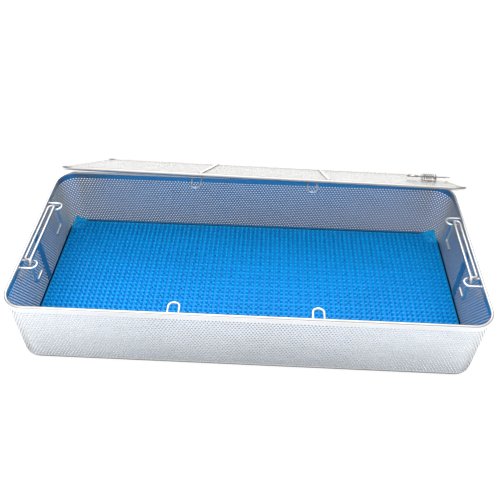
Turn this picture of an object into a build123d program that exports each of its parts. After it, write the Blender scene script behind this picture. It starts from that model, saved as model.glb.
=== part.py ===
from build123d import *
import os
from math import cos, pi, radians, sin, sqrt

# Sterilization basket: a long, low tray of perforated stainless sheet with a wire hoop round
# its mouth, eight wire loops inside the mouth, a drop handle at each end, a nubbed silicone
# mat on its floor, and a loose lid that leans on the rear of the rim.
# Millimetres. X runs along the basket, Y from front to rear, Z up; the origin is the middle
# of the underside that stands on the table.

# Basket, measured between the centre lines of its walls
basket_length = 540.0
basket_width = 243.0
corner_radius = 24.0
sheet = 0.8
rim_height = 93.0
rim_wire_diameter = 4.0
pan_height = 7.0
pan_edge_radius = 5.0
seam_lap = 8.0
seam_jog = 3.0

# Perforation: the walls and lid have 3 mm holes at 4 mm, drawn ten times as large and
# as far apart, as hexagons, so that the sheet keeps its true share of open area
hole_diameter = 3.0
hole_pitch = 4.0
pattern_scale = 10
plain_top_band = 7.5
lid_margin = 8.0

# Wire loops inside the mouth
loop_wire_diameter = 3.0
loop_width = 12.5
loop_depth = 19.0
loop_drop = 4.0
side_loop_spacing = 160.0
handle_loop_spacing = 106.0

# Drop handles
handle_wire_diameter = 4.0
handle_bend_radius = 6.0
handle_leg_length = 36.0
handle_foot_length = 20.0
handle_wall_gap = 9.3
grip_bar_diameter = 3.5
grip_bar_spacing = 7.0
grip_bar_length = 98.0
grip_bar_bend_radius = 4.0

# Silicone mat
mat_thickness = 7.7
mat_base_thickness = 3.0
mat_end_gap = 2.5
mat_side_gap = 1.5
mat_corner_radius = 21.0
mat_edge_radius = 2.5
nub_diameter = 4.0
nub_pitch = 6.4
nub_scale = 4
nub_taper = 12.0

# Lid
lid_length = 534.0
lid_width = 236.0
lid_corner_radius = 22.0
lid_wire_diameter = 5.0
rib_wire_diameter = 3.0
rib_spacing = 168.0
rib_shift = 4.0
lid_slope = 33.0
lid_turn = -1.5
lid_shift = 12.0

# Lid latch: a spring bolt at the lid's right end
bolt_diameter = 3.0
bolt_height = 6.3
bolt_reach = 4.0
pull_ring_diameter = 15.0
pull_ring_gap = 6.0
bracket_sheet = 1.2
bracket_width = 10.0
bracket_inside_length = 18.0
bracket_edge_gap = 11.0
collar_diameter = 7.0
collar_width = 2.0
spring_wire_diameter = 1.5
spring_diameter = 9.0
spring_turns = 4.5

# Gaps
seat_gap = 0.3
running_gap = 0.1

# Derived sizes
half_length = basket_length / 2
half_width = basket_width / 2
inner_half_length = half_length - sheet / 2
inner_half_width = half_width - sheet / 2
wall_top = rim_height - rim_wire_diameter / 2
loop_height = rim_height - loop_drop
loop_top = loop_height + loop_wire_diameter / 2
handle_x = inner_half_length - handle_wall_gap - handle_wire_diameter / 2
handle_height = loop_top + seat_gap + handle_wire_diameter / 2
foot_height = handle_height - handle_leg_length
handle_travel = handle_leg_length - handle_wire_diameter - loop_wire_diameter - 2 * seat_gap
wide_pitch = pattern_scale * hole_pitch
wide_hole = pattern_scale * hole_diameter
hole_corner_radius = wide_hole / 2 * sqrt(2 * pi / (3 * sqrt(3)))


def swept_wire(path, diameter):
    """A round wire of the given diameter along a path."""
    with BuildPart() as wire:
        with BuildSketch(Plane(path ^ 0)):
            Circle(diameter / 2)
        sweep(path=path)
    return wire.part


def hole_places(length, width):
    """Middles of staggered rows of holes that fill a rectangle round the origin."""
    row_rise = wide_pitch * sin(pi / 3)
    rows = int((width - wide_hole) / row_rise) + 1
    longest = int((length - wide_hole) / wide_pitch) + 1
    places = []
    for row in range(rows):
        count = longest - row % 2
        for column in range(count):
            across = (column - (count - 1) / 2) * wide_pitch
            places.append((across, (row - (rows - 1) / 2) * row_rise))
    return places


def save(part, name):
    """Label a finished piece and write it."""
    part.label = name
    export_step(part, f"parts/{name}.step")


os.makedirs("parts", exist_ok=True)

# Floor pan: the perforated floor with its rounded edge and short upstand
with BuildPart() as floor_pan:
    with BuildSketch():
        RectangleRounded(
            basket_length + sheet, basket_width + sheet, corner_radius + sheet / 2
        )
    extrude(amount=pan_height)
    fillet(floor_pan.faces().sort_by(Axis.Z)[0].edges(), pan_edge_radius)
    offset(amount=-sheet, openings=floor_pan.faces().sort_by(Axis.Z)[-1])
save(floor_pan.part, "floor_pan")

perforated_height = wall_top - plain_top_band - pan_height
perforated_middle = pan_height + perforated_height / 2
seam_clear = seam_lap / 2 + 1.0 + seam_jog


def wall_faces(side):
    """The flat faces of one half band, as a plane and a length each; side is -1 front or 1 rear."""
    long_length = basket_length - 2 * corner_radius
    end_length = half_width - corner_radius - seam_clear
    end_y = side * (seam_clear + end_length / 2)
    long_origin = (0, side * half_width, perforated_middle)
    left_origin = (-half_length, end_y, perforated_middle)
    right_origin = (half_length, end_y, perforated_middle)
    return (
        (Plane(origin=long_origin, x_dir=(1, 0, 0), z_dir=(0, -1, 0)), long_length),
        (Plane(origin=left_origin, x_dir=(0, 1, 0), z_dir=(1, 0, 0)), end_length),
        (Plane(origin=right_origin, x_dir=(0, 1, 0), z_dir=(1, 0, 0)), end_length),
    )


# Wall bands: two half bands of sheet stand on the pan's upstand and meet at the middle of
# each end, where the rear band is jogged inward by its thickness behind the front band
with BuildPart() as front_wall_band:
    with BuildSketch(Plane.XY.offset(pan_height)):
        with BuildLine():
            FilletPolyline(
                (-half_length, seam_lap / 2),
                (-half_length, -half_width),
                (half_length, -half_width),
                (half_length, seam_lap / 2),
                radius=corner_radius,
            )
        trace(line_width=sheet)
    extrude(amount=wall_top - pan_height)
    for wall_plane, wall_length in wall_faces(-1):
        with BuildSketch(wall_plane):
            with Locations(*hole_places(wall_length, perforated_height)):
                RegularPolygon(hole_corner_radius, 6)
        extrude(amount=sheet, both=True, mode=Mode.SUBTRACT)
save(front_wall_band.part, "front_wall_band")

lap_x = half_length - sheet
jog_start = seam_lap / 2 + 1.0
jog_end = jog_start + seam_jog
with BuildPart() as rear_wall_band:
    with BuildSketch(Plane.XY.offset(pan_height)):
        with BuildLine():
            FilletPolyline(
                (-lap_x, -seam_lap / 2),
                (-lap_x, jog_start),
                (-half_length, jog_end),
                (-half_length, half_width),
                (half_length, half_width),
                (half_length, jog_end),
                (lap_x, jog_start),
                (lap_x, -seam_lap / 2),
                radius=[1.0, 1.0, corner_radius, corner_radius, 1.0, 1.0],
            )
        trace(line_width=sheet)
    extrude(amount=wall_top - pan_height)
    for wall_plane, wall_length in wall_faces(1):
        with BuildSketch(wall_plane):
            with Locations(*hole_places(wall_length, perforated_height)):
                RegularPolygon(hole_corner_radius, 6)
        extrude(amount=sheet, both=True, mode=Mode.SUBTRACT)
save(rear_wall_band.part, "rear_wall_band")

# Rim: a closed hoop of wire welded along the top edge of the walls
with BuildLine(Plane.XY.offset(rim_height)) as rim_path:
    FilletPolyline(
        (half_length, -half_width),
        (half_length, half_width),
        (-half_length, half_width),
        (-half_length, -half_width),
        close=True,
        radius=corner_radius,
    )
rim_wire = swept_wire(rim_path.line, rim_wire_diameter)
save(rim_wire, "rim_wire")


# Loops: U-shaped wires butted against the inner face of the walls just below the rim
def wall_loop(plane):
    """A U of wire that stands out from the wall, on a plane whose X points inward."""
    with BuildLine(plane) as loop_path:
        FilletPolyline(
            (0, -loop_width / 2),
            (loop_depth, -loop_width / 2),
            (loop_depth, loop_width / 2),
            (0, loop_width / 2),
            radius=0.48 * loop_width,
        )
    return swept_wire(loop_path.line, loop_wire_diameter)


side_loop_x = side_loop_spacing / 2
handle_loop_y = handle_loop_spacing / 2
loop_places = {
    "front_loop_left": ((-side_loop_x, -inner_half_width), (0, 1)),
    "front_loop_right": ((side_loop_x, -inner_half_width), (0, 1)),
    "rear_loop_left": ((-side_loop_x, inner_half_width), (0, -1)),
    "rear_loop_right": ((side_loop_x, inner_half_width), (0, -1)),
    "left_loop_front": ((-inner_half_length, -handle_loop_y), (1, 0)),
    "left_loop_rear": ((-inner_half_length, handle_loop_y), (1, 0)),
    "right_loop_front": ((inner_half_length, -handle_loop_y), (-1, 0)),
    "right_loop_rear": ((inner_half_length, handle_loop_y), (-1, 0)),
}
for loop_name, (foot, inward) in loop_places.items():
    loop_plane = Plane(
        origin=(foot[0], foot[1], loop_height), x_dir=(inward[0], inward[1], 0), z_dir=(0, 0, 1)
    )
    save(wall_loop(loop_plane), loop_name)


# Drop handles: a bail whose legs run down through two loops and turn in as feet that stop
# it when it is pulled up, and a grip bar welded beside the bail's top
def handle_bail(side):
    """The bail of one end, hanging inside the loops; side is -1 left or 1 right."""
    with BuildLine(Plane.YZ.offset(side * handle_x)) as bail_path:
        FilletPolyline(
            (-handle_loop_y + handle_foot_length, foot_height),
            (-handle_loop_y, foot_height),
            (-handle_loop_y, handle_height),
            (handle_loop_y, handle_height),
            (handle_loop_y, foot_height),
            (handle_loop_y - handle_foot_length, foot_height),
            radius=handle_bend_radius,
        )
    return swept_wire(bail_path.line, handle_wire_diameter)


def grip_bar(side, bail):
    """The second bar of the grip, its ends coped onto the bail."""
    outer_x = side * (handle_x + grip_bar_spacing)
    with BuildLine(Plane.XY.offset(handle_height)) as bar_path:
        FilletPolyline(
            (side * handle_x, -grip_bar_length / 2),
            (outer_x, -grip_bar_length / 2),
            (outer_x, grip_bar_length / 2),
            (side * handle_x, grip_bar_length / 2),
            radius=grip_bar_bend_radius,
        )
    bar_wire = swept_wire(bar_path.line, grip_bar_diameter)
    with BuildPart() as bar:
        add(bar_wire)
        add(bail, mode=Mode.SUBTRACT)
    return bar.part


for side_name, side in (("left", -1), ("right", 1)):
    bail = handle_bail(side)
    save(bail, f"{side_name}_handle_bail")
    save(grip_bar(side, bail), f"{side_name}_grip_bar")

# Silicone mat: a loose sheet that lies on the floor. Its nubs are drawn four times as wide
# and as far apart as the real ones, at their true height
wide_nub_pitch = nub_scale * nub_pitch
nub_columns = int((basket_length - 2 * corner_radius) / wide_nub_pitch) + 1
nub_rows = int((basket_width - 2 * mat_corner_radius) / wide_nub_pitch) + 1
with BuildPart() as silicone_mat:
    with BuildSketch(Plane.XY.offset(sheet + seat_gap)):
        RectangleRounded(
            2 * (inner_half_length - mat_end_gap),
            2 * (inner_half_width - mat_side_gap),
            mat_corner_radius,
        )
    extrude(amount=mat_base_thickness)
    fillet(silicone_mat.faces().sort_by(Axis.Z)[0].edges(), mat_edge_radius)
    with BuildSketch(Plane.XY.offset(sheet + seat_gap + mat_base_thickness)):
        with GridLocations(wide_nub_pitch, wide_nub_pitch, nub_columns, nub_rows):
            RegularPolygon(nub_scale * nub_diameter / 2, 6)
    extrude(amount=mat_thickness - mat_base_thickness, taper=nub_taper)
save(silicone_mat.part, "silicone_mat")

# Lid: it leans with its far edge on the table and its underside on the rear corner of the
# rim. The plane's X runs along the lid, its Y down the slope and its Z out of its upper face
slope = radians(lid_slope)
turn = radians(lid_turn)
lid_normal = Vector(-sin(turn) * sin(slope), cos(turn) * sin(slope), cos(slope))
lid_middle_height = (
    seat_gap + lid_wire_diameter / 2 + (lid_width / 2 - lid_wire_diameter / 2) * sin(slope)
)
rim_corner_x = half_length - corner_radius
lid_middle_y = half_width + (
    (rim_corner_x - lid_shift) * lid_normal.X
    + (rim_height - lid_middle_height) * lid_normal.Z
    + (sheet + rim_wire_diameter) / 2
    + seat_gap
) / lid_normal.Y
lid_plane = Plane(
    origin=(lid_shift, lid_middle_y, lid_middle_height),
    x_dir=(cos(turn), sin(turn), 0),
    z_dir=lid_normal,
)
lid_path_length = lid_length - lid_wire_diameter
lid_path_width = lid_width - lid_wire_diameter
lid_path_radius = lid_corner_radius - lid_wire_diameter / 2

with BuildLine(lid_plane) as lid_frame_path:
    FilletPolyline(
        (lid_path_length / 2, -lid_path_width / 2),
        (lid_path_length / 2, lid_path_width / 2),
        (-lid_path_length / 2, lid_path_width / 2),
        (-lid_path_length / 2, -lid_path_width / 2),
        close=True,
        radius=lid_path_radius,
    )
save(swept_wire(lid_frame_path.line, lid_wire_diameter), "lid_frame_wire")

with BuildPart() as lid_sheet:
    with BuildSketch(lid_plane):
        RectangleRounded(
            lid_path_length - lid_wire_diameter,
            lid_path_width - lid_wire_diameter,
            lid_path_radius - lid_wire_diameter / 2,
        )
    extrude(amount=sheet / 2, both=True)
    with BuildSketch(lid_plane):
        with Locations(*hole_places(lid_length - 2 * lid_margin, lid_width - 2 * lid_margin)):
            RegularPolygon(hole_corner_radius, 6)
    extrude(amount=sheet, both=True, mode=Mode.SUBTRACT)
save(lid_sheet.part, "lid_sheet")

# Ribs: two cross wires on the upper face of the lid, their ends against the frame wire
rib_length = lid_path_width - lid_wire_diameter
rib_height = sheet / 2 + rib_wire_diameter / 2
for side_name, side in (("left", -1), ("right", 1)):
    rib_start = lid_plane.from_local_coords(
        Vector(rib_shift + side * rib_spacing / 2, -rib_length / 2, rib_height)
    )
    with BuildPart() as lid_rib:
        with BuildSketch(Plane(origin=rib_start, z_dir=lid_plane.y_dir)):
            Circle(rib_wire_diameter / 2)
        extrude(amount=rib_length)
    save(lid_rib.part, f"lid_rib_{side_name}")

# Latch bracket: a strip welded to the lid, with an upturned ear at each end for the bolt
lid_end = lid_length / 2
outer_ear = lid_end - lid_wire_diameter - bracket_edge_gap
inner_ear = outer_ear - bracket_inside_length - 2 * bracket_sheet
ear_top = bolt_height + bracket_width / 2
latch_plane = Plane(origin=lid_plane.origin, x_dir=lid_plane.x_dir, z_dir=-lid_plane.y_dir)
with BuildPart() as latch_bracket:
    with BuildSketch(latch_plane):
        with BuildLine():
            Polyline(
                (inner_ear, sheet / 2),
                (outer_ear, sheet / 2),
                (outer_ear, ear_top),
                (outer_ear - bracket_sheet, ear_top),
                (outer_ear - bracket_sheet, sheet / 2 + bracket_sheet),
                (inner_ear + bracket_sheet, sheet / 2 + bracket_sheet),
                (inner_ear + bracket_sheet, ear_top),
                (inner_ear, ear_top),
                close=True,
            )
        make_face()
    extrude(amount=bracket_width / 2, both=True)
    along_lid = Axis(lid_plane.origin, lid_plane.x_dir)
    out_of_lid = Axis(lid_plane.origin, lid_plane.z_dir)
    bracket_corners = latch_bracket.edges().filter_by(along_lid).group_by(out_of_lid)[-1]
    fillet(bracket_corners, 0.45 * bracket_width)
    bolt_line = lid_plane.from_local_coords(Vector(inner_ear, 0, bolt_height))
    with BuildSketch(Plane(origin=bolt_line, z_dir=lid_plane.x_dir)):
        Circle(bolt_diameter / 2 + running_gap)
    extrude(amount=outer_ear - inner_ear, mode=Mode.SUBTRACT)
save(latch_bracket.part, "latch_bracket")

# Latch bolt: a rod with a pull ring inboard and a collar that the spring presses on
bolt_tip = lid_end + bolt_reach
collar_end = outer_ear - bracket_sheet - seat_gap
ring_middle = inner_ear - pull_ring_gap - pull_ring_diameter / 2


def along_bolt(distance):
    """The plane square to the bolt at a distance from the lid's middle."""
    middle = lid_plane.from_local_coords(Vector(distance, 0, bolt_height))
    return Plane(origin=middle, z_dir=lid_plane.x_dir)


with BuildPart() as latch_bolt:
    with BuildSketch(along_bolt(ring_middle + pull_ring_diameter / 2)):
        Circle(bolt_diameter / 2)
    extrude(amount=bolt_tip - ring_middle - pull_ring_diameter / 2)
    fillet(latch_bolt.edges().sort_by(along_lid)[-1], bolt_diameter / 3)
    with BuildSketch(along_bolt(collar_end - collar_width)):
        Circle(collar_diameter / 2)
    extrude(amount=collar_width)
    ring_plane = Plane(
        origin=along_bolt(ring_middle).origin, x_dir=lid_plane.x_dir, z_dir=lid_plane.z_dir
    )
    with Locations(ring_plane.location):
        Torus(pull_ring_diameter / 2, bolt_diameter / 2)
save(latch_bolt.part, "latch_bolt")

# Latch spring: a coil round the bolt, from the inner ear to the collar
spring_start = inner_ear + bracket_sheet + seat_gap + spring_wire_diameter / 2
spring_end = collar_end - collar_width - seat_gap - spring_wire_diameter / 2
spring_radius = (spring_diameter - spring_wire_diameter) / 2
spring_pitch = (spring_end - spring_start) / spring_turns


def spring_point(turns):
    """The centre of the spring's wire after a number of turns."""
    angle = 2 * pi * turns
    place = Vector(
        spring_start + spring_pitch * turns,
        spring_radius * cos(angle),
        bolt_height + spring_radius * sin(angle),
    )
    return lid_plane.from_local_coords(place)


def spring_direction(turns):
    """The way that the spring's wire runs after a number of turns."""
    angle = 2 * pi * turns
    round_speed = 2 * pi * spring_radius
    way = Vector(spring_pitch, -round_speed * sin(angle), round_speed * cos(angle))
    return (lid_plane.from_local_coords(way) - lid_plane.origin).normalized()


def biarc(start, start_way, end, end_way):
    """Two arcs that leave start and reach end along the given ways."""
    chord = end - start
    ways = start_way + end_way
    square = 2 * (start_way.dot(end_way) - 1)
    straight = -2 * chord.dot(ways)
    reach = (-straight - (straight**2 - 4 * square * chord.dot(chord)) ** 0.5) / (2 * square)
    joint = (start + start_way * reach + end - end_way * reach) * 0.5
    joint_way = (end - end_way * reach - start - start_way * reach).normalized()
    TangentArc(start, joint, tangent=start_way)
    TangentArc(joint, end, tangent=joint_way)


half_turns = round(2 * spring_turns)
with BuildLine() as spring_path:
    for step in range(half_turns):
        first = spring_turns * step / half_turns
        last = spring_turns * (step + 1) / half_turns
        biarc(
            spring_point(first), spring_direction(first), spring_point(last), spring_direction(last)
        )
save(swept_wire(spring_path.line, spring_wire_diameter), "latch_spring")

spring_gap = min(
    (spring_point(a / 24) - spring_point(b / 24)).length
    for a in range(int(24 * spring_turns))
    for b in range(a + 18, int(24 * spring_turns) + 1)
)
print("least gap of the spring to itself:", round(spring_gap - spring_wire_diameter, 2))
print("handle travel:", round(handle_travel, 2))
print("lid middle:", tuple(lid_plane.origin), "lid axis:", tuple(lid_plane.x_dir))
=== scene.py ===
from math import atan2, cos, pi, radians, sin, sqrt

import bmesh
import bpy
from mathutils import Matrix, Vector


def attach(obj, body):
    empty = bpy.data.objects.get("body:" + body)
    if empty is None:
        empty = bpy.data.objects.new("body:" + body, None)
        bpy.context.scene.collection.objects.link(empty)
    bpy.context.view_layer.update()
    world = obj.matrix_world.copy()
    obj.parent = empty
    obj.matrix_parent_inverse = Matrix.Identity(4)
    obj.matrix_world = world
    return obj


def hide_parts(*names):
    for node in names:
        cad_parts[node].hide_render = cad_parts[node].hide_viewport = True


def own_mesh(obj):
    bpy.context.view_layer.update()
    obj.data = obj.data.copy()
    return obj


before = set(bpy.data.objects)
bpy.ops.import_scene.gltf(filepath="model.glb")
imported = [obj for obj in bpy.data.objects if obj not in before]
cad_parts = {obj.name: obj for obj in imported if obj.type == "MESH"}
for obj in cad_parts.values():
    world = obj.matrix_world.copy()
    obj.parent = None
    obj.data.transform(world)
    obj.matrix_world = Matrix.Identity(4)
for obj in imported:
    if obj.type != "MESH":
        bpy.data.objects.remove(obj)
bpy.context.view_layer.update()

bl_info = {
    "name": "Sterilization basket",
    "version": (1, 0, 0),
    "blender": (4, 5, 0),
    "location": "View3D > Sidebar > Basket",
    "description": "Perforated sheet, nubbed mat and finishes for a sterilization basket",
    "category": "Add Mesh",
}

# Sizes in metres, the same as the solids have
BASKET_LENGTH = 0.540
BASKET_WIDTH = 0.243
CORNER_RADIUS = 0.024
PAN_HEIGHT = 0.007
PAN_EDGE_RADIUS = 0.005
WALL_TOP = 0.091
SEAM_LAP = 0.008
SEAM_CLEAR = 0.001
SEAM_JOG = 0.003
SHEET = 0.0008
LOOP_HEIGHT = 0.089
LOOP_WIDTH = 0.0125
SIDE_LOOP_SPACING = 0.160
HANDLE_LOOP_SPACING = 0.106
HANDLE_X = 0.2583
HANDLE_HEIGHT = 0.0928
GRIP_BAR_LENGTH = 0.098
MAT_BOTTOM = 0.0011
MAT_TOP = 0.0088
LID_LENGTH = 0.534
LID_WIDTH = 0.236
LID_WIRE = 0.005
LID_CORNER = 0.022
LID_SLOPE = radians(33.0)
LID_TURN = radians(-1.5)
LID_MIDDLE = Vector((0.012, 0.174630, 0.065706))
RIB_SPACING = 0.168
RIB_SHIFT = 0.004
BOLT_HEIGHT = 0.0063
SPRING_START = 0.23285
SPRING_END = 0.24645
SPRING_RADIUS = 0.00375
SPRING_WIRE = 0.0015
SPRING_TURNS = 4.5

# Sizes that only the visible pieces have
WALL_SHEET = 0.0011
WALL_ROWS = 23
PAN_EDGE_LAP = 0.0002
LID_SHEET_TUCK = 0.0003
MAT_LENGTH = 0.5366
MAT_WIDTH = 0.2412
MAT_CORNER = 0.003
MAT_FOOT_DRAW = 0.0025
MAT_FLAT_RADIUS = 0.002
MAT_CORNER_SLACK = 0.0016
NUB_SINK = 0.0003
NUB_CROWN_HEIGHT = 0.0009
NUB_SHOULDER = 0.84
NUB_CROWN = 0.52
GRIP_WELD_OUT = 0.0018

# Welds: radius and height of each step from the foot up
LOOP_WELD = ((0.0024, -0.0002), (0.0023, 0.0003), (0.00185, 0.0009), (0.0016, 0.0018))
GRIP_WELD = ((0.0021, -0.0006), (0.0024, 0.0001), (0.0021, 0.0007), (0.0018, 0.0014))

# Steel: colour, roughness, scale of the grain and strength of its relief
STEELS = {
    # Painted highlight: the rolled edge is the sheet steel painted lighter.
    "Rolled edge steel, painted light and shade": ((0.74, 0.74, 0.74), 0.278, 700.0, 0.15),
    # Painted highlight: the loops are the same wire steel as the rim and handles, painted
    # lighter.
    "Loop wire, painted lighter": ((0.93, 0.93, 0.93), 0.278, 500.0, 0.06),
    # Painted shade: the lid's sheet and wire and the latch are the basket's steel, painted
    # darker and warmer.
    "Lid sheet steel, painted shade": ((0.48, 0.475, 0.46), 0.278, 700.0, 0.15),
    "Lid wire, painted shade": ((0.52, 0.50, 0.475), 0.278, 500.0, 0.06),
    "Latch steel, painted shade": ((0.54, 0.52, 0.50), 0.28, 600.0, 0.10),
}

# Lamps: name, place, size and power; all face the same spot
LAMPS = (
    ("Key light", (-0.1, 0.1, 2.5), 4.0, 45.0),
    ("Back light", (0.0, 1.5, 2.2), 2.2, 26.0),
    ("Fill light", (-0.9, -1.7, 2.1), 1.8, 12.0),
)
LAMP_AIM = Vector((0.0, 0.05, 0.04))

# Camera: place, angles, and a lens given in pixels of a picture of that width
CAMERA_PLACE = (0.01849, -0.51419, 0.58270)
CAMERA_PITCH = radians(44.60)
CAMERA_YAW = radians(-2.104)
CAMERA_ROLL = radians(-0.807)
CAMERA_FOCAL = 576.57
PICTURE_WIDTH = 500.0
SENSOR_WIDTH = 36.0

LOOP_NODES = (
    "front_loop_left",
    "front_loop_right",
    "rear_loop_left",
    "rear_loop_right",
    "left_loop_front",
    "left_loop_rear",
    "right_loop_front",
    "right_loop_rear",
)
WIRE_NODES = (
    "rim_wire",
    "left_handle_bail",
    "right_handle_bail",
    "left_grip_bar",
    "right_grip_bar",
)
LID_WIRE_NODES = (
    "lid_frame_wire",
    "lid_rib_left",
    "lid_rib_right",
)
LATCH_NODES = ("latch_bracket", "latch_bolt")


# ---- settings


class PerforationSettings(bpy.types.PropertyGroup):
    """The holes of the walls, floor and lid."""

    hole_diameter: bpy.props.FloatProperty(
        name="Hole diameter",
        description="Width of each round hole",
        default=0.0023,
        min=0.001,
        max=0.0034,
        unit="LENGTH",
    )
    hole_pitch: bpy.props.FloatProperty(
        name="Hole pitch",
        description="Distance between neighbouring holes of a row",
        default=0.0039,
        min=0.0035,
        max=0.006,
        unit="LENGTH",
    )
    plain_foot: bpy.props.FloatProperty(
        name="Plain foot",
        description="Height of plain sheet below the lowest row of the walls",
        default=0.0003,
        unit="LENGTH",
    )
    end_strip: bpy.props.FloatProperty(
        name="End strip",
        description="Width of plain sheet at each end of a wall band, where the bands lap",
        default=0.0068,
        unit="LENGTH",
    )


class MatSettings(bpy.types.PropertyGroup):
    """The nubbed silicone mat."""

    nub_pitch: bpy.props.FloatProperty(
        name="Nub pitch",
        description="Distance between neighbouring nubs, the same both ways",
        default=0.0065,
        unit="LENGTH",
    )
    nub_diameter: bpy.props.FloatProperty(
        name="Nub diameter",
        description="Width of a nub at its foot",
        default=0.0040,
        unit="LENGTH",
    )
    base_thickness: bpy.props.FloatProperty(
        name="Base thickness",
        description="Thickness of the mat between its nubs",
        default=0.0030,
        unit="LENGTH",
    )
    drain_diameter: bpy.props.FloatProperty(
        name="Drain hole",
        description="Width of each drain hole between the nubs",
        default=0.0025,
        unit="LENGTH",
    )
    corner_room: bpy.props.FloatProperty(
        name="Corner room",
        description="Radius round the walls' corner centres that holds the mat's corners",
        default=0.0231,
        unit="LENGTH",
    )
    colour: bpy.props.FloatVectorProperty(
        name="Silicone colour",
        description="Colour of the mat",
        subtype="COLOR",
        default=(0.000, 0.510, 0.960),
        min=0.0,
        max=1.0,
    )
    # Painted shade: the darker blue that stands for the shade falling between the nubs.
    painted_shade_colour: bpy.props.FloatVectorProperty(
        name="Painted shade colour",
        description="Colour of the mat between its nubs",
        subtype="COLOR",
        default=(0.000, 0.310, 0.780),
        min=0.0,
        max=1.0,
    )


class FinishSettings(bpy.types.PropertyGroup):
    """The steel's colours and polish."""

    sheet_colour: bpy.props.FloatVectorProperty(
        name="Sheet colour",
        description="Colour of the perforated steel",
        subtype="COLOR",
        default=(0.55, 0.565, 0.575),
        min=0.0,
        max=1.0,
    )
    sheet_roughness: bpy.props.FloatProperty(
        name="Sheet roughness",
        description="Roughness of the perforated steel",
        default=0.278,
        min=0.0,
        max=1.0,
        subtype="FACTOR",
    )
    wire_colour: bpy.props.FloatVectorProperty(
        name="Wire colour",
        description="Colour of the polished wire",
        subtype="COLOR",
        default=(0.68, 0.67, 0.66),
        min=0.0,
        max=1.0,
    )
    wire_roughness: bpy.props.FloatProperty(
        name="Wire roughness",
        description="Roughness of the polished wire",
        default=0.28,
        min=0.0,
        max=1.0,
        subtype="FACTOR",
    )


# ---- working by hand


def deselect():
    """Leave edit mode and select nothing."""
    if bpy.context.object and bpy.context.object.mode != "OBJECT":
        bpy.ops.object.mode_set(mode="OBJECT")
    bpy.ops.object.select_all(action="DESELECT")


def take(piece):
    """Make this piece the only selected one and the active one."""
    deselect()
    piece.select_set(True)
    bpy.context.view_layer.objects.active = piece


def settle(piece):
    """Move a piece's place, turn and scale into its mesh."""
    take(piece)
    bpy.ops.object.transform_apply(location=True, rotation=True, scale=True)


def apply(piece, modifier):
    """Apply one modifier of a piece."""
    take(piece)
    bpy.ops.object.modifier_apply(modifier=modifier.name)


def edit(piece, mode="VERT"):
    """Open a piece in edit mode with nothing of it selected."""
    take(piece)
    bpy.ops.object.mode_set(mode="EDIT")
    bpy.ops.mesh.select_mode(type=mode)
    bpy.ops.mesh.select_all(action="DESELECT")
    return bmesh.from_edit_mesh(piece.data)


def close_edit(piece):
    """Write the edit back and leave edit mode."""
    bmesh.update_edit_mesh(piece.data)
    bpy.ops.object.mode_set(mode="OBJECT")


def duplicate(piece, name):
    """A copy of a piece with a mesh of its own."""
    take(piece)
    bpy.ops.object.duplicate(linked=False)
    copy = bpy.context.object
    copy.name = name
    return copy


def join(pieces, name):
    """Join several pieces into the first."""
    deselect()
    for piece in pieces:
        piece.select_set(True)
    bpy.context.view_layer.objects.active = pieces[0]
    if len(pieces) > 1:
        bpy.ops.object.join()
    pieces[0].name = name
    return pieces[0]


def repeat(piece, count, step):
    """Lay copies of a piece side by side and merge where they meet."""
    array = piece.modifiers.new("Repeat", "ARRAY")
    array.use_relative_offset = False
    array.use_constant_offset = True
    array.constant_offset_displace = step
    array.count = count
    array.use_merge_vertices = True
    array.merge_threshold = 0.00002
    apply(piece, array)


def thicken(piece, thickness):
    """Give a sheet its thickness, half to each side."""
    solid = piece.modifiers.new("Thickness", "SOLIDIFY")
    solid.thickness = thickness
    solid.offset = 0.0
    apply(piece, solid)


def face_out(piece):
    """Turn every face of a closed piece outward."""
    edit(piece)
    bpy.ops.mesh.select_all(action="SELECT")
    bpy.ops.mesh.normals_make_consistent(inside=False)
    close_edit(piece)


def smooth(piece, angle=radians(35.0)):
    """Shade a piece smooth except across its sharp edges."""
    take(piece)
    bpy.ops.object.shade_smooth_by_angle(angle=angle)


def extend_edge(piece, axis, at, distance):
    """Pull the open edge that lies at one coordinate outward by a distance."""
    mesh = edit(piece, "EDGE")
    for edge in mesh.edges:
        ends = [vertex.co[axis] for vertex in edge.verts]
        if edge.is_boundary and all(abs(end - at) < 0.00005 for end in ends):
            edge.select_set(True)
    move = [0.0, 0.0, 0.0]
    move[axis] = distance
    bpy.ops.mesh.extrude_region_move(TRANSFORM_OT_translate={"value": move})
    close_edit(piece)


def cut_away(piece, point, outward):
    """Cut off what lies beyond a plane."""
    edit(piece)
    bpy.ops.mesh.select_all(action="SELECT")
    bpy.ops.mesh.bisect(plane_co=point, plane_no=outward, clear_outer=True)
    close_edit(piece)


def round_corners(piece, half_length, half_width, radius, ends=(-1, 1), cuts=7):
    """Cut the corners of a flat sheet to an arc, by planes that touch it."""
    for end in ends:
        for side in (-1, 1):
            for step in range(cuts):
                angle = pi / 2 * (step + 0.5) / cuts
                outward = Vector((end * cos(angle), side * sin(angle), 0.0))
                across = end * (half_length - radius)
                along = side * (half_width - radius)
                cut_away(piece, Vector((across, along, 0.0)) + outward * radius, outward)


def place(piece, matrix):
    """Put a piece where a matrix says, and keep its object at the origin."""
    piece.matrix_world = matrix @ piece.matrix_world
    settle(piece)


def lid_plane():
    """The lid's own plane: X along it, Y down its slope, Z out of its upper face."""
    along = Vector((cos(LID_TURN), sin(LID_TURN), 0.0))
    normal = Vector(
        (-sin(LID_TURN) * sin(LID_SLOPE), cos(LID_TURN) * sin(LID_SLOPE), cos(LID_SLOPE))
    )
    down = normal.cross(along)
    matrix = Matrix((along, down, normal)).transposed().to_4x4()
    matrix.translation = LID_MIDDLE
    return matrix


# ---- perforated sheet


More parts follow.
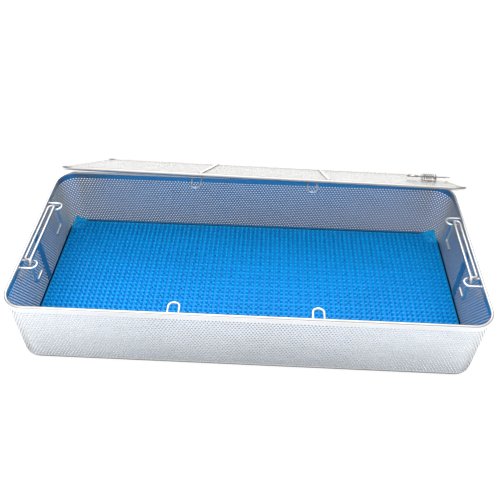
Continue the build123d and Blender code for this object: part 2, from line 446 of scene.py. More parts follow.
def hole_cell(name, pitch, rise, hole, sides):
    """One cell of sheet with a round hole in its middle, flat on the ground."""
    deselect()
    bpy.ops.mesh.primitive_circle_add(
        vertices=sides, radius=hole / 2, location=(pitch / 2, rise / 2, 0.0)
    )
    cell = bpy.context.object
    cell.name = name
    settle(cell)
    edit(cell, "EDGE")
    bpy.ops.mesh.select_all(action="SELECT")
    bpy.ops.mesh.extrude_edges_move()
    mesh = bmesh.from_edit_mesh(cell.data)
    for vertex in mesh.verts:
        if not vertex.select:
            continue
        for axis, size in ((0, pitch), (1, rise)):
            past = vertex.co[axis] - size / 2
            if abs(past) < hole / 20:
                vertex.co[axis] = size / 2
            else:
                vertex.co[axis] = size if past > 0 else 0.0
    close_edit(cell)
    return cell


def row_rise():
    """Distance between the staggered rows of holes."""
    return bpy.context.scene.basket_perforation.hole_pitch * sqrt(3.0) / 2


def perforated_sheet(name, columns, row_pairs, sides=8):
    """A flat sheet with staggered rows of holes, one corner at the origin, and its size."""
    holes = bpy.context.scene.basket_perforation
    pitch = holes.hole_pitch
    rise = row_rise()
    sheet = hole_cell(name, pitch, rise, holes.hole_diameter, sides)
    repeat(sheet, columns, (pitch, 0.0, 0.0))
    length = columns * pitch
    extend_edge(sheet, 0, 0.0, -pitch / 2)
    extend_edge(sheet, 0, length, pitch / 2)
    repeat(sheet, 2, (pitch / 2, rise, 0.0))
    mesh = edit(sheet, "FACE")
    for face in mesh.faces:
        middle = face.calc_center_median().x
        face.select_set(middle < 0.0 or middle > length + pitch / 2)
    bpy.ops.mesh.delete(type="FACE")
    close_edit(sheet)
    repeat(sheet, row_pairs, (0.0, 2 * rise, 0.0))
    face_out(sheet)
    return sheet, length + pitch / 2, 2 * rise * row_pairs


def arc_points(middle, radius, start, stop, steps=24):
    """Points on an arc about a middle, from one angle to another, in degrees."""
    points = []
    for step in range(steps + 1):
        angle = radians(start + (stop - start) * step / steps)
        points.append((middle[0] + radius * cos(angle), middle[1] + radius * sin(angle)))
    return points


def wall_route(side):
    """The plan of one wall band along its middle line: side is -1 front or 1 rear."""
    half_length = BASKET_LENGTH / 2
    half_width = BASKET_WIDTH / 2
    across = half_length - CORNER_RADIUS
    along = half_width - CORNER_RADIUS
    if side < 0:
        left_end = [(-half_length, SEAM_LAP / 2)]
        right_end = [(half_length, SEAM_LAP / 2)]
    else:
        jog_start = SEAM_LAP / 2 + SEAM_CLEAR
        lap_x = half_length - SHEET
        right_end = [
            (half_length, jog_start + SEAM_JOG), (lap_x, jog_start), (lap_x, -SEAM_LAP / 2)
        ]
        left_end = [(-x, y) for x, y in reversed(right_end)]
    left_arc = arc_points((-across, side * along), CORNER_RADIUS, 180, 180 - side * 90)
    right_arc = arc_points((across, side * along), CORNER_RADIUS, side * 90, 0)
    return left_end + left_arc + right_arc + right_end


def route_length(points):
    """Length of a route along its points."""
    steps = zip(points[:-1], points[1:])
    return sum((Vector(last) - Vector(first)).length for first, last in steps)


def wrap_along(piece, points):
    """Bend an upright sheet so that its length follows a route on the ground."""
    curve = bpy.data.curves.new("Wall route", "CURVE")
    curve.dimensions = "2D"
    spline = curve.splines.new("POLY")
    spline.points.add(len(points) - 1)
    for point, (x, y) in zip(spline.points, points):
        point.co = (x, y, 0.0, 1.0)
    route = bpy.data.objects.new("Wall route", curve)
    bpy.context.collection.objects.link(route)
    bend = piece.modifiers.new("Bend", "CURVE")
    bend.object = route
    bend.deform_axis = "POS_X"
    apply(piece, bend)
    bpy.data.objects.remove(route)


def wall_band(name, side):
    """One half band of the walls, with a plain foot, top and ends, in two parts."""
    holes = bpy.context.scene.basket_perforation
    points = wall_route(side)
    total = route_length(points)
    columns = int((total - 2 * holes.end_strip) / holes.hole_pitch - 0.5)
    band, length, height = perforated_sheet(name, columns, (WALL_ROWS + 1) // 2)
    height *= WALL_ROWS / (WALL_ROWS + 1)
    cut_away(band, (0.0, height, 0.0), (0.0, 1.0, 0.0))
    margin = (total - length) / 2
    foot = PAN_HEIGHT + holes.plain_foot
    extend_edge(band, 1, 0.0, -holes.plain_foot)
    extend_edge(band, 1, height, WALL_TOP - foot - height)
    extend_edge(band, 0, 0.0, -margin)
    extend_edge(band, 0, length, margin)
    band.location = (margin, 0.0, 0.0)
    settle(band)
    band.rotation_euler = (pi / 2, 0.0, 0.0)
    band.location = (0.0, 0.0, foot)
    settle(band)
    middle = margin + (round(columns / 2) + 0.5) * holes.hole_pitch
    mesh = edit(band, "FACE")
    for face in mesh.faces:
        face.select_set(face.calc_center_median().x > middle)
    bpy.ops.mesh.separate(type="SELECTED")
    close_edit(band)
    halves = [band] + [piece for piece in bpy.context.selected_objects if piece != band]
    for half, end in zip(halves, ("left", "right")):
        half.name = f"{name}_{end}"
        wrap_along(half, points)
        thicken(half, WALL_SHEET)
        smooth(half)
    return halves


# ---- studs


def stud(name, sides, steps):
    """A small round closed stud; steps are its radius and height from its foot up."""
    deselect()
    radius, height = steps[0]
    bpy.ops.mesh.primitive_circle_add(
        vertices=sides, radius=radius, fill_type="NGON", location=(0.0, 0.0, height)
    )
    piece = bpy.context.object
    piece.name = name
    settle(piece)
    edit(piece, "FACE")
    bpy.ops.mesh.select_all(action="SELECT")
    for (last_radius, last_height), (radius, height) in zip(steps[:-1], steps[1:]):
        bpy.ops.mesh.extrude_region_move(
            TRANSFORM_OT_translate={"value": (0.0, 0.0, height - last_height)}
        )
        share = radius / last_radius
        bpy.ops.transform.resize(
            value=(share, share, 1.0), center_override=(0.0, 0.0, height)
        )
    close_edit(piece)
    face_out(piece)
    return piece


# ---- finishes


def node(tree, kind, **values):
    """A new node with its settings, and values for its sockets by their names."""
    made = tree.nodes.new(kind)
    for key, value in values.items():
        if hasattr(made, key):
            setattr(made, key, value)
        else:
            made.inputs[key.replace("_", " ")].default_value = value
    return made


def connect(tree, source, output, target, socket):
    """Link a named output of one node to a named or numbered input of another."""
    tree.links.new(source.outputs[output], target.inputs[socket])


def group_shell(name, inputs, outputs):
    """An empty shader node group with named sockets; returns the group and its two ends."""
    group = bpy.data.node_groups.new(name, "ShaderNodeTree")
    for socket_name, kind, value in inputs:
        socket = group.interface.new_socket(
            name=socket_name, in_out="INPUT", socket_type=kind
        )
        if value is not None:
            socket.default_value = value
    for socket_name, kind in outputs:
        group.interface.new_socket(name=socket_name, in_out="OUTPUT", socket_type=kind)
    return group, node(group, "NodeGroupInput"), node(group, "NodeGroupOutput")


def grain_group():
    """Fine grain: a value between two limits, and a height, from layered noise."""
    if "Fine grain" in bpy.data.node_groups:
        return bpy.data.node_groups["Fine grain"]
    group, start, end = group_shell(
        "Fine grain",
        [
            ("Vector", "NodeSocketVector", None),
            ("Scale", "NodeSocketFloat", 900.0),
            ("Low", "NodeSocketFloat", 0.0),
            ("High", "NodeSocketFloat", 1.0),
        ],
        [("Value", "NodeSocketFloat"), ("Height", "NodeSocketFloat")],
    )
    noise = node(group, "ShaderNodeTexNoise", Detail=3.0, Roughness=0.6)
    spread = node(group, "ShaderNodeMapRange", From_Min=0.3, From_Max=0.7)
    connect(group, start, "Vector", noise, "Vector")
    connect(group, start, "Scale", noise, "Scale")
    connect(group, noise, "Fac", spread, "Value")
    connect(group, start, "Low", spread, "To Min")
    connect(group, start, "High", spread, "To Max")
    connect(group, spread, "Result", end, "Value")
    connect(group, noise, "Fac", end, "Height")
    return group


def marks_group():
    """Handling marks: broad soft patches with finer streaks in them, as a mask."""
    if "Handling marks" in bpy.data.node_groups:
        return bpy.data.node_groups["Handling marks"]
    group, start, end = group_shell(
        "Handling marks",
        [
            ("Vector", "NodeSocketVector", None),
            ("Patch scale", "NodeSocketFloat", 14.0),
            ("Streak scale", "NodeSocketFloat", 160.0),
        ],
        [("Mask", "NodeSocketFloat")],
    )
    patches = node(group, "ShaderNodeTexNoise", Detail=2.0, Distortion=0.6)
    stretch = node(group, "ShaderNodeMapping", Scale=(0.15, 1.0, 1.0))
    streaks = node(group, "ShaderNodeTexNoise", Detail=4.0)
    blend = node(group, "ShaderNodeMath", operation="MULTIPLY")
    spread = node(group, "ShaderNodeMapRange", From_Min=0.15, From_Max=0.40)
    connect(group, start, "Vector", patches, "Vector")
    connect(group, start, "Patch scale", patches, "Scale")
    connect(group, start, "Vector", stretch, "Vector")
    connect(group, stretch, "Vector", streaks, "Vector")
    connect(group, start, "Streak scale", streaks, "Scale")
    connect(group, patches, "Fac", blend, 0)
    connect(group, streaks, "Fac", blend, 1)
    connect(group, blend, "Value", spread, "Value")
    connect(group, spread, "Result", end, "Mask")
    return group


def new_finish(name):
    """An empty node material with its shader, and its object coordinates."""
    finish = bpy.data.materials.new(name)
    finish.use_nodes = True
    tree = finish.node_tree
    tree.nodes.clear()
    output = node(tree, "ShaderNodeOutputMaterial")
    shader = node(tree, "ShaderNodeBsdfPrincipled")
    connect(tree, shader, "BSDF", output, "Surface")
    return finish, tree, shader, node(tree, "ShaderNodeTexCoord").outputs["Object"]


def use_group(tree, group, vector, **values):
    """A group node fed with coordinates and its own values."""
    used = node(tree, "ShaderNodeGroup", node_tree=group, **values)
    tree.links.new(vector, used.inputs["Vector"])
    return used


def mix_colours(tree, factor, first, second):
    """A colour mixed between two by a mask."""
    mix = node(tree, "ShaderNodeMix", data_type="RGBA", A=(*first, 1.0), B=(*second, 1.0))
    tree.links.new(factor, mix.inputs["Factor"])
    return mix.outputs["Result"]


def grained_surface(tree, shader, fine, strength, distance):
    """Let a grain group set a shader's roughness and its fine relief."""
    connect(tree, fine, "Value", shader, "Roughness")
    relief = node(tree, "ShaderNodeBump", Strength=strength, Distance=distance)
    connect(tree, fine, "Height", relief, "Height")
    connect(tree, relief, "Normal", shader, "Normal")


def steel_finish(name, colour, roughness, grain, bump):
    """Stainless steel: grained, with soft handling marks in its colour and polish."""
    if name in bpy.data.materials:
        return bpy.data.materials[name]
    finish, tree, shader, vector = new_finish(name)
    marks = use_group(tree, marks_group(), vector)
    fine = use_group(
        tree, grain_group(), vector, Scale=grain, Low=roughness, High=roughness * 1.1
    )
    darker = tuple(part * 0.92 for part in colour)
    shade = mix_colours(tree, marks.outputs["Mask"], colour, darker)
    shader.inputs["Metallic"].default_value = 1.0
    tree.links.new(shade, shader.inputs["Base Color"])
    grained_surface(tree, shader, fine, bump, 0.00005)
    return finish


def sheet_finish():
    """Finish of the perforated sheet of the walls and floor."""
    look = bpy.context.scene.basket_finish
    return steel_finish(
        "Perforated steel", tuple(look.sheet_colour), look.sheet_roughness, 700.0, 0.15
    )


def wire_finish():
    """Finish of the polished wires."""
    look = bpy.context.scene.basket_finish
    return steel_finish(
        "Polished wire", tuple(look.wire_colour), look.wire_roughness, 500.0, 0.06
    )


def listed_steel(name):
    """One of the listed steel finishes."""
    return steel_finish(name, *STEELS[name])


def edge_finish():
    """Finish of the pan's rolled edge: painted lighter, with a painted shade line low down.
    """
    name = "Rolled edge steel, painted light and shade"
    if name in bpy.data.materials:
        return bpy.data.materials[name]
    finish = listed_steel(name)
    tree = finish.node_tree
    colour = tree.nodes["Principled BSDF"].inputs["Base Color"]
    shade = colour.links[0].from_socket
    place_in = node(tree, "ShaderNodeTexCoord")
    height = node(tree, "ShaderNodeSeparateXYZ")
    # Painted shade: below 4.6 mm the colour drops to a fifth, rising to full by 5.6 mm, as
    # a dark line low on the edge next to the floor.
    level = node(
        tree, "ShaderNodeMapRange", From_Min=0.0046, From_Max=0.0056, To_Min=0.20
    )
    painted_shade_line = node(tree, "ShaderNodeVectorMath", operation="SCALE")
    connect(tree, place_in, "Object", height, "Vector")
    connect(tree, height, "Z", level, "Value")
    tree.links.new(shade, painted_shade_line.inputs[0])
    connect(tree, level, "Result", painted_shade_line, "Scale")
    tree.links.new(painted_shade_line.outputs["Vector"], colour)
    return finish


def silicone_finish():
    """Blue silicone: its own colour on the nub tops and a painted shade deeper down between
    them, with a fine matt skin.
    """
    if "Blue silicone" in bpy.data.materials:
        return bpy.data.materials["Blue silicone"]
    mat = bpy.context.scene.basket_mat
    finish, tree, shader, vector = new_finish("Blue silicone")
    height = node(tree, "ShaderNodeSeparateXYZ")
    floor = MAT_BOTTOM + mat.base_thickness
    level = node(tree, "ShaderNodeMapRange", From_Min=floor, From_Max=MAT_TOP)
    tree.links.new(vector, height.inputs["Vector"])
    connect(tree, height, "Z", level, "Value")
    # Painted shade: from the base up to the nub tops the colour goes from the painted shade
    # colour to the silicone colour.
    shade = mix_colours(
        tree, level.outputs["Result"], tuple(mat.painted_shade_colour), tuple(mat.colour)
    )
    marks = use_group(tree, marks_group(), vector, Patch_scale=9.0, Streak_scale=60.0)
    dust = node(tree, "ShaderNodeMix", data_type="RGBA", blend_type="MULTIPLY")
    dust.inputs["B"].default_value = (0.86, 0.90, 0.93, 1.0)
    connect(tree, marks, "Mask", dust, "Factor")
    tree.links.new(shade, dust.inputs["A"])
    fine = use_group(tree, grain_group(), vector, Scale=1500.0, Low=0.38, High=0.52)
    connect(tree, dust, "Result", shader, "Base Color")
    shader.inputs["Specular IOR Level"].default_value = 0.3
    grained_surface(tree, shader, fine, 0.2, 0.00004)
    return finish


def dress(piece, finish):
    """Give a piece its one finish."""
    piece.data.materials.clear()
    piece.data.materials.append(finish)


# ---- operators


class BASKET_OT_wall_bands(bpy.types.Operator):
    """Make the two perforated half bands of the walls"""

    bl_idname = "basket.wall_bands"
    bl_label = "Wall bands"

    def execute(self, context):
        for name, node_name, side in (
            ("front_wall_sheet", "front_wall_band", -1),
            ("rear_wall_sheet", "rear_wall_band", 1),
        ):
            for half in wall_band(name, side):
                dress(half, sheet_finish())
                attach(half, "basket")
                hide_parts(node_name)
        return {"FINISHED"}


class BASKET_OT_floor_pan(bpy.types.Operator):
    """Make the perforated floor and the rolled edge of the pan"""

    bl_idname = "basket.floor_pan"
    bl_label = "Floor pan"

    def execute(self, context):
        pitch = context.scene.basket_perforation.hole_pitch
        half_length = (BASKET_LENGTH + SHEET) / 2 - PAN_EDGE_RADIUS
        half_width = (BASKET_WIDTH + SHEET) / 2 - PAN_EDGE_RADIUS
        corner = CORNER_RADIUS + SHEET / 2 - PAN_EDGE_RADIUS
        for name, end in (("floor_panel_left", -1), ("floor_panel_right", 1)):
            columns = int(half_length / pitch - 0.5)
            row_pairs = int(half_width / row_rise())
            panel, length, width = perforated_sheet(name, columns, row_pairs, sides=6)
            outer = 0.0 if end < 0 else length
            extend_edge(panel, 0, outer, end * (half_length - length))
            extend_edge(panel, 1, 0.0, -(half_width - width / 2))
            extend_edge(panel, 1, width, half_width - width / 2)
            panel.location = (0.0 if end > 0 else -length, -width / 2, 0.0)
            settle(panel)
            round_corners(panel, half_length, half_width, corner, ends=(end,))
            panel.location = (0.0, 0.0, SHEET / 2)
            settle(panel)
            thicken(panel, SHEET)
            smooth(panel)
            dress(panel, sheet_finish())
            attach(panel, "basket")
            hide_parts("floor_pan")
        edge = self.rolled_edge()
        dress(edge, edge_finish())
        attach(edge, "basket")
        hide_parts("floor_pan")
        return {"FINISHED"}

    def rolled_edge(self):
        """The pan's rounded edge and upstand, swept round the plan."""
        radius = PAN_EDGE_RADIUS - SHEET / 2
        middle = (SHEET / 2 - PAN_EDGE_RADIUS, PAN_EDGE_RADIUS)
        profile = [(-PAN_EDGE_RADIUS - PAN_EDGE_LAP, SHEET / 2)]
        profile += arc_points(middle, radius, -90, 0, 8)
        profile.append((0.0, PAN_HEIGHT))
        across = BASKET_LENGTH / 2 - CORNER_RADIUS
        along = BASKET_WIDTH / 2 - CORNER_RADIUS
        quarters = ((1, 1, 0), (-1, 1, 90), (-1, -1, 180), (1, -1, 270))
        rings = []
        deselect()
        mesh = bpy.data.meshes.new("pan_edge")
        shape = bmesh.new()
        for inset, height in profile:
            ring = []
            for x_side, y_side, start in quarters:
                middle = (x_side * across, y_side * along)
                radius = CORNER_RADIUS + inset
                for x, y in arc_points(middle, radius, start, start + 90, 18):
                    ring.append(shape.verts.new((x, y, height)))
            rings.append(ring)
        for low, high in zip(rings[:-1], rings[1:]):
            for index in range(len(low)):
                after = (index + 1) % len(low)
                shape.faces.new((low[index], low[after], high[after], high[index]))
        shape.to_mesh(mesh)
        shape.free()
        edge = bpy.data.objects.new("pan_edge", mesh)
        bpy.context.collection.objects.link(edge)
        thicken(edge, SHEET)
        smooth(edge)
        return edge


class BASKET_OT_silicone_mat(bpy.types.Operator):
    """Make the silicone mat with its nubs and drain holes"""

    bl_idname = "basket.silicone_mat"
    bl_label = "Silicone mat"

    def execute(self, context):
        mat = context.scene.basket_mat
        pitch = mat.nub_pitch
        columns = int(MAT_LENGTH / (2 * pitch))
        rows = int(MAT_WIDTH / (2 * pitch))
        length = columns * 2 * pitch
        width = rows * 2 * pitch
        base = hole_cell("mat_base", 2 * pitch, 2 * pitch, mat.drain_diameter, 8)
        repeat(base, columns, (2 * pitch, 0.0, 0.0))
        repeat(base, rows, (0.0, 2 * pitch, 0.0))
        for axis, size, full in ((0, length, MAT_LENGTH), (1, width, MAT_WIDTH)):
            extend_edge(base, axis, 0.0, -(full - size) / 2)
            extend_edge(base, axis, size, (full - size) / 2)
        base.location = (-length / 2, -width / 2, 0.0)
        settle(base)
        round_corners(base, MAT_LENGTH / 2, MAT_WIDTH / 2, MAT_CORNER, cuts=4)
        self.cut_finer(base)
        face_out(base)
        base.location = (0.0, 0.0, MAT_BOTTOM + mat.base_thickness / 2)
        settle(base)
        thicken(base, mat.base_thickness)
        self.draw_in_foot(base)

        foot = mat.nub_diameter / 2
        floor = MAT_BOTTOM + mat.base_thickness
        nubs = stud(
            "mat_nubs",
            8,
            [
                (foot, floor - NUB_SINK),
                (foot * NUB_SHOULDER, MAT_TOP - NUB_CROWN_HEIGHT),
                (foot * NUB_CROWN, MAT_TOP),
            ],
        )
        repeat(nubs, 2 * columns, (pitch, 0.0, 0.0))
        repeat(nubs, 2 * rows, (0.0, pitch, 0.0))
        nubs.location = ((pitch - length) / 2, (pitch - width) / 2, 0.0)
        settle(nubs)
        whole = join([base, nubs], "silicone_mat_nubbed")
        self.curl_corners(whole, mat.corner_room, MAT_BOTTOM + mat.base_thickness / 2)
        smooth(whole, radians(50.0))
        dress(whole, silicone_finish())
        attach(whole, "mat")
        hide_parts("silicone_mat")
        return {"FINISHED"}

    def cut_finer(self, base):
        """Cut the sheet across near its corners, so that they can bend smoothly."""
        strips = 9
        strip_width = 0.0025
        for axis, half in ((0, BASKET_LENGTH / 2), (1, BASKET_WIDTH / 2)):
            for step in range(strips):
                for end in (-1, 1):
                    point = [0.0, 0.0, 0.0]
                    point[axis] = end * (half - CORNER_RADIUS + strip_width * step)
                    outward = [0.0, 0.0, 0.0]
                    outward[axis] = end
                    edit(base)
                    bpy.ops.mesh.select_all(action="SELECT")
                    bpy.ops.mesh.bisect(plane_co=point, plane_no=outward)
                    close_edit(base)

    def draw_in_foot(self, base):
        """Draw the mat's lower rim in, so that it sits inside the pan's rounded edge."""
        across = MAT_LENGTH / 2 - MAT_CORNER
        along = MAT_WIDTH / 2 - MAT_CORNER
        lowest = MAT_BOTTOM + 0.0001
        outermost = MAT_CORNER - 0.0003
        mesh = edit(base)
        for vertex in mesh.verts:
            x, y, z = vertex.co
            nearest = (max(-across, min(across, x)), max(-along, min(along, y)), 0.0)
            outward = Vector((x, y, 0.0)) - Vector(nearest)
            if z < lowest and outward.length > outermost:
                vertex.co -= outward.normalized() * MAT_FOOT_DRAW
        close_edit(base)

    def curl_corners(self, piece, room, middle):
        """Curl the mat's square corners up inside the rounded corners of the walls."""
        across = BASKET_LENGTH / 2 - CORNER_RADIUS
        along = BASKET_WIDTH / 2 - CORNER_RADIUS
        long_reach = MAT_LENGTH / 2 - across
        short_reach = MAT_WIDTH / 2 - along
        flat = MAT_FLAT_RADIUS
        mesh = edit(piece)
        for vertex in mesh.verts:
            x = abs(vertex.co.x) - across
            y = abs(vertex.co.y) - along
            radius = sqrt(x * x + y * y)
            if x <= 0.0 or y <= 0.0 or radius <= flat:
                continue
            way = atan2(y, x)
            full = min(long_reach / cos(way), short_reach / sin(way))
            limit = room - MAT_CORNER_SLACK * sin(2 * way) ** 2
            turn = self.curl_angle(full - flat, limit - flat)
            if turn < 0.001:
                continue
            bend = (full - flat) / turn
            angle = (radius - flat) / bend
            height = vertex.co.z - middle
            reach = flat + (bend - height) * sin(angle)
            vertex.co.x += (reach / radius - 1.0) * x * (1 if vertex.co.x > 0 else -1)
            vertex.co.y += (reach / radius - 1.0) * y * (1 if vertex.co.y > 0 else -1)
            vertex.co.z = middle + bend * (1.0 - cos(angle)) + height * cos(angle)
        close_edit(piece)

    def curl_angle(self, length, room):
        """The angle through which a strip of a length bends to reach only so far."""
        low, high = 0.0, pi
        for step in range(40):
            turn = (low + high) / 2
            if length * sin(turn) > room * turn:
                low = turn
            else:
                high = turn
        return low


class BASKET_OT_lid_panels(bpy.types.Operator):
    """Make the lid's perforated sheet in three panels that meet under its ribs"""

    bl_idname = "basket.lid_panels"
    bl_label = "Lid panels"

    def execute(self, context):
        pitch = context.scene.basket_perforation.hole_pitch
        half_length = LID_LENGTH / 2 - LID_WIRE
        half_width = LID_WIDTH / 2 - LID_WIRE
        row_pairs = int(half_width / row_rise())
        tucked = half_width + LID_SHEET_TUCK
        corner = LID_CORNER - LID_WIRE
        for part, end in (("left", -1), ("middle", 0), ("right", 1)):
            start = RIB_SHIFT + (end or -1) * RIB_SPACING / 2
            stop = RIB_SHIFT + RIB_SPACING / 2 if end == 0 else end * half_length
            low, high = min(start, stop), max(start, stop)
            columns = int((high - low) / pitch - 0.5)
            name = f"lid_panel_{part}"
            panel, length, width = perforated_sheet(name, columns, row_pairs)
            spare = (high - low - length) / 2
            extend_edge(panel, 0, 0.0, -spare)
            extend_edge(panel, 0, length, spare)
            extend_edge(panel, 1, 0.0, -(tucked - width / 2))
            extend_edge(panel, 1, width, tucked - width / 2)
            panel.location = (low + spare, -width / 2, 0.0)
            settle(panel)
            if end:
                round_corners(panel, half_length, tucked, corner, ends=(end,))
            thicken(panel, SHEET)
            place(panel, lid_plane())
            smooth(panel)
            # Painted shade: the lid's sheet is the sheet steel painted darker.
            dress(panel, listed_steel("Lid sheet steel, painted shade"))
            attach(panel, "lid")
            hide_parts("lid_sheet")
        return {"FINISHED"}


class BASKET_OT_latch_spring(bpy.types.Operator):
    """Make the coil spring of the lid's latch"""

    bl_idname = "basket.latch_spring"
    bl_label = "Latch spring"

    def execute(self, context):
        deselect()
        bpy.ops.mesh.primitive_circle_add(
            vertices=12,
            radius=SPRING_WIRE / 2,
            location=(SPRING_RADIUS, 0.0, 0.0),
            rotation=(pi / 2, 0.0, 0.0),
        )
        coil = bpy.context.object
        coil.name = "latch_coil"
        settle(coil)
        screw = coil.modifiers.new("Coil", "SCREW")
        screw.axis = "Z"
        screw.angle = 2 * pi * SPRING_TURNS
        screw.screw_offset = SPRING_END - SPRING_START
        screw.steps = int(28 * SPRING_TURNS)
        screw.render_steps = screw.steps
        screw.use_merge_vertices = False
        apply(coil, screw)
        mesh = edit(coil, "EDGE")
        for edge in mesh.edges:
            edge.select_set(edge.is_boundary)
        bpy.ops.mesh.edge_face_add()
        close_edit(coil)
        face_out(coil)
        turn = Matrix(((0, 0, 1), (1, 0, 0), (0, 1, 0))).to_4x4()
        turn.translation = (SPRING_START, 0.0, BOLT_HEIGHT)
        place(coil, lid_plane() @ turn)
        smooth(coil)
        # Painted shade: the spring gets the latch's steel, painted darker.
        dress(coil, listed_steel("Latch steel, painted shade"))
        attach(coil, "lid")
        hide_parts("latch_spring")
        plane = lid_plane()
        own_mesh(coil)
        return {"FINISHED"}


class BASKET_OT_welds(bpy.types.Operator):
    """Make the small welds where wires meet the walls and each other"""

    bl_idname = "basket.welds"
    bl_label = "Welds"

    def execute(self, context):
        inner_x = (BASKET_LENGTH - SHEET) / 2
        inner_y = (BASKET_WIDTH - SHEET) / 2
        ends = (-1, 1)
        spots = []
        for side in ends:
            for middle, offset in [(first, second) for first in ends for second in ends]:
                x = (middle * SIDE_LOOP_SPACING + offset * LOOP_WIDTH) / 2
                y = (middle * HANDLE_LOOP_SPACING + offset * LOOP_WIDTH) / 2
                spots.append(((x, side * inner_y, LOOP_HEIGHT), (0.0, -side, 0.0)))
                spots.append(((side * inner_x, y, LOOP_HEIGHT), (-side, 0.0, 0.0)))
        welds = self.set_of_welds("loop_welds", LOOP_WELD, spots)
        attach(welds, "basket")
        for name, end in (("left", -1), ("right", 1)):
            x = end * (HANDLE_X + GRIP_WELD_OUT)
            spots = [
                ((x, side * GRIP_BAR_LENGTH / 2, HANDLE_HEIGHT), (end, 0.0, 0.0))
                for side in ends
            ]
            welds = self.set_of_welds(f"{name}_grip_welds", GRIP_WELD, spots)
            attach(welds, f"{name}_handle")
        return {"FINISHED"}

    def set_of_welds(self, name, steps, spots):
        """One piece of like welds, each standing on a spot and facing its way."""
        first = stud(name, 14, steps)
        copies = [duplicate(first, f"{name}_{index}") for index in range(len(spots))]
        for copy, (spot, way) in zip(copies, spots):
            turn = Vector(way).to_track_quat("Z", "Y").to_matrix().to_4x4()
            turn.translation = spot
            place(copy, turn)
        bpy.data.objects.remove(first)
        welds = join(copies, name)
        smooth(welds, radians(60.0))
        dress(welds, wire_finish())
        return welds


class BASKET_OT_wire_finishes(bpy.types.Operator):
    """Give the wires and the latch their finishes"""

    bl_idname = "basket.wire_finishes"
    bl_label = "Wire and latch finishes"

    def execute(self, context):
        for names, finish in (
            # Painted highlight: the loops get the wire steel painted lighter.
            (LOOP_NODES, listed_steel("Loop wire, painted lighter")),
            (WIRE_NODES, wire_finish()),
            # Painted shade: the lid wire and the latch get the steel painted darker.
            (LID_WIRE_NODES, listed_steel("Lid wire, painted shade")),
            (LATCH_NODES, listed_steel("Latch steel, painted shade")),
        ):
            for name in names:
                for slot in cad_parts[name].material_slots:
                    slot.material = finish
        return {"FINISHED"}


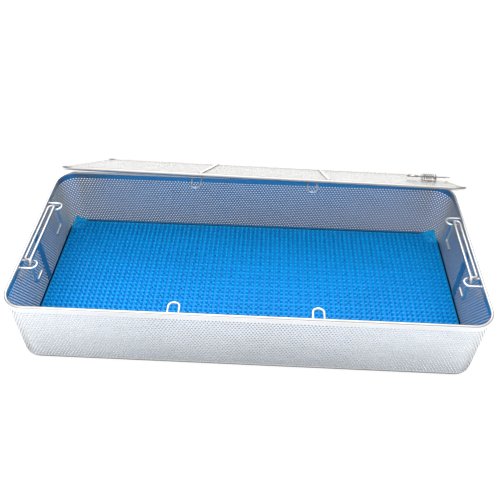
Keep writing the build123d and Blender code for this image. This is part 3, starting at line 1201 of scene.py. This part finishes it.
class BASKET_OT_stage(bpy.types.Operator):
    """Set the pale floor, the soft light and the camera"""

    bl_idname = "basket.stage"
    bl_label = "Stage"

    def execute(self, context):
        self.floor()
        self.sky()
        for name, spot, size, power in LAMPS:
            self.lamp(name, spot, size, power)
        self.camera()
        return {"FINISHED"}

    def floor(self):
        """A plain white floor that keeps the object's soft shadow."""
        deselect()
        bpy.ops.mesh.primitive_plane_add(size=12.0, location=(0.0, 0.0, -0.0001))
        ground = bpy.context.object
        ground.name = "stage_floor"
        finish = bpy.data.materials.new("Stage floor")
        finish.use_nodes = True
        tree = finish.node_tree
        tree.nodes.clear()
        output = node(tree, "ShaderNodeOutputMaterial")
        path = node(tree, "ShaderNodeLightPath")
        matt = node(tree, "ShaderNodeBsdfDiffuse", Color=(0.90, 0.90, 0.91, 1.0))
        # Painted reflection: to glossy rays the floor also glows, up to 0.54 from 6 cm
        # beyond the basket's plan, and the glow fades to nothing at the basket as a painted
        # shadow.
        near = node(tree, "ShaderNodeMath", operation="MULTIPLY")
        sheen = node(tree, "ShaderNodeEmission")
        mirrored = node(tree, "ShaderNodeAddShader")
        soft = node(tree, "ShaderNodeBsdfDiffuse", Color=(0.24, 0.24, 0.24, 1.0))
        glow = node(tree, "ShaderNodeEmission", Strength=0.84)
        bright = node(tree, "ShaderNodeAddShader")
        chosen = node(tree, "ShaderNodeMixShader")
        connect(tree, path, "Is Glossy Ray", near, 0)
        tree.links.new(self.nearness(tree), near.inputs[1])
        connect(tree, near, "Value", sheen, "Strength")
        connect(tree, matt, "BSDF", mirrored, 0)
        connect(tree, sheen, "Emission", mirrored, 1)
        connect(tree, soft, "BSDF", bright, 0)
        connect(tree, glow, "Emission", bright, 1)
        connect(tree, path, "Is Camera Ray", chosen, "Fac")
        connect(tree, mirrored, "Shader", chosen, 1)
        connect(tree, bright, "Shader", chosen, 2)
        connect(tree, chosen, "Shader", output, "Surface")
        ground.data.materials.append(finish)

    def nearness(self, tree):
        """A value that falls to nothing at the basket: a painted shadow in the floor's glow
        that the steel reflects.
        """
        place_in = node(tree, "ShaderNodeTexCoord")
        split = node(tree, "ShaderNodeSeparateXYZ")
        connect(tree, place_in, "Object", split, "Vector")
        farther = node(tree, "ShaderNodeMath", operation="MAXIMUM")
        halves = (("X", BASKET_LENGTH / 2), ("Y", BASKET_WIDTH / 2))
        for index, (axis, half) in enumerate(halves):
            size = node(tree, "ShaderNodeMath", operation="ABSOLUTE")
            past = node(tree, "ShaderNodeMath", operation="SUBTRACT")
            past.inputs[1].default_value = half
            connect(tree, split, axis, size, 0)
            connect(tree, size, "Value", past, 0)
            connect(tree, past, "Value", farther, index)
        spread = node(tree, "ShaderNodeMapRange", From_Max=0.06, To_Max=0.54)
        connect(tree, farther, "Value", spread, "Value")
        return spread.outputs["Result"]

    def sky(self):
        """White behind the object, and a soft grey ring round it for the metal to show."""
        world = bpy.data.worlds.new("Studio")
        bpy.context.scene.world = world
        world.use_nodes = True
        tree = world.node_tree
        tree.nodes.clear()
        output = node(tree, "ShaderNodeOutputWorld")
        place_in = node(tree, "ShaderNodeTexCoord")
        split = node(tree, "ShaderNodeSeparateXYZ")
        ramp = node(tree, "ShaderNodeValToRGB")
        low, high = ramp.color_ramp.elements
        low.color = (0.22, 0.23, 0.25, 1.0)
        high.position = 0.80
        high.color = (0.62, 0.62, 0.63, 1.0)
        ramp.color_ramp.elements.new(0.28).color = (0.50, 0.51, 0.53, 1.0)
        shiny = node(tree, "ShaderNodeBackground")
        white = (1.0, 1.0, 1.0, 1.0)
        plain = node(tree, "ShaderNodeBackground", Color=white, Strength=0.80)
        behind = node(tree, "ShaderNodeBackground", Color=white)
        path = node(tree, "ShaderNodeLightPath")
        first = node(tree, "ShaderNodeMixShader")
        second = node(tree, "ShaderNodeMixShader")
        connect(tree, place_in, "Generated", split, "Vector")
        connect(tree, split, "Z", ramp, "Fac")
        connect(tree, ramp, "Color", shiny, "Color")
        connect(tree, path, "Is Glossy Ray", first, "Fac")
        connect(tree, plain, "Background", first, 1)
        connect(tree, shiny, "Background", first, 2)
        connect(tree, path, "Is Camera Ray", second, "Fac")
        connect(tree, first, "Shader", second, 1)
        connect(tree, behind, "Background", second, 2)
        connect(tree, second, "Shader", output, "Surface")

    def lamp(self, name, spot, size, power):
        """A large square lamp that faces the basket."""
        deselect()
        bpy.ops.object.light_add(type="AREA", location=spot)
        lamp = bpy.context.object
        lamp.name = name
        lamp.data.size = size
        lamp.data.energy = power
        facing = (LAMP_AIM - Vector(spot)).to_track_quat("-Z", "Y")
        lamp.rotation_euler = facing.to_euler()

    def camera(self):
        """The camera, in front of the basket and above it, looking down."""
        pitch, yaw, roll = CAMERA_PITCH, CAMERA_YAW, CAMERA_ROLL
        forward = Vector((sin(yaw) * cos(pitch), cos(yaw) * cos(pitch), -sin(pitch)))
        level = Vector((cos(yaw), -sin(yaw), 0.0))
        below = forward.cross(level)
        right = cos(roll) * level + sin(roll) * below
        down = -sin(roll) * level + cos(roll) * below
        deselect()
        bpy.ops.object.camera_add(location=CAMERA_PLACE)
        camera = bpy.context.object
        camera.name = "Camera"
        turn = Matrix((right, -down, -forward)).transposed()
        camera.rotation_euler = turn.to_euler()
        camera.data.sensor_width = SENSOR_WIDTH
        camera.data.lens = CAMERA_FOCAL * SENSOR_WIDTH / PICTURE_WIDTH
        camera.data.clip_start = 0.01
        bpy.context.scene.camera = camera
        bpy.context.scene.view_settings.view_transform = "Standard"


class BASKET_PT_panel(bpy.types.Panel):
    """The basket's pieces, in the order in which they are made"""

    bl_idname = "BASKET_PT_panel"
    bl_label = "Sterilization basket"
    bl_space_type = "VIEW_3D"
    bl_region_type = "UI"
    bl_category = "Basket"

    def draw(self, context):
        for settings in (
            context.scene.basket_perforation,
            context.scene.basket_mat,
            context.scene.basket_finish,
        ):
            box = self.layout.box()
            for key in settings.__annotations__:
                box.prop(settings, key)
        for operator in OPERATORS:
            self.layout.operator(operator.bl_idname)


SETTINGS = (PerforationSettings, MatSettings, FinishSettings)
OPERATORS = (
    BASKET_OT_wall_bands,
    BASKET_OT_floor_pan,
    BASKET_OT_silicone_mat,
    BASKET_OT_lid_panels,
    BASKET_OT_latch_spring,
    BASKET_OT_welds,
    BASKET_OT_wire_finishes,
    BASKET_OT_stage,
)


def register():
    """Register the settings, the operators and the panel."""
    for item in SETTINGS + OPERATORS + (BASKET_PT_panel,):
        bpy.utils.register_class(item)
    bpy.types.Scene.basket_perforation = bpy.props.PointerProperty(type=PerforationSettings)
    bpy.types.Scene.basket_mat = bpy.props.PointerProperty(type=MatSettings)
    bpy.types.Scene.basket_finish = bpy.props.PointerProperty(type=FinishSettings)


def unregister():
    """Remove everything that register added."""
    del bpy.types.Scene.basket_finish
    del bpy.types.Scene.basket_mat
    del bpy.types.Scene.basket_perforation
    for item in reversed(SETTINGS + OPERATORS + (BASKET_PT_panel,)):
        bpy.utils.unregister_class(item)


def main():
    """Make the whole basket."""
    register()
    bpy.ops.basket.wall_bands()
    bpy.ops.basket.floor_pan()
    bpy.ops.basket.silicone_mat()
    bpy.ops.basket.lid_panels()
    bpy.ops.basket.latch_spring()
    bpy.ops.basket.welds()
    bpy.ops.basket.wire_finishes()
    bpy.ops.basket.stage()
    deselect()


if __name__ == "__main__":
    main()
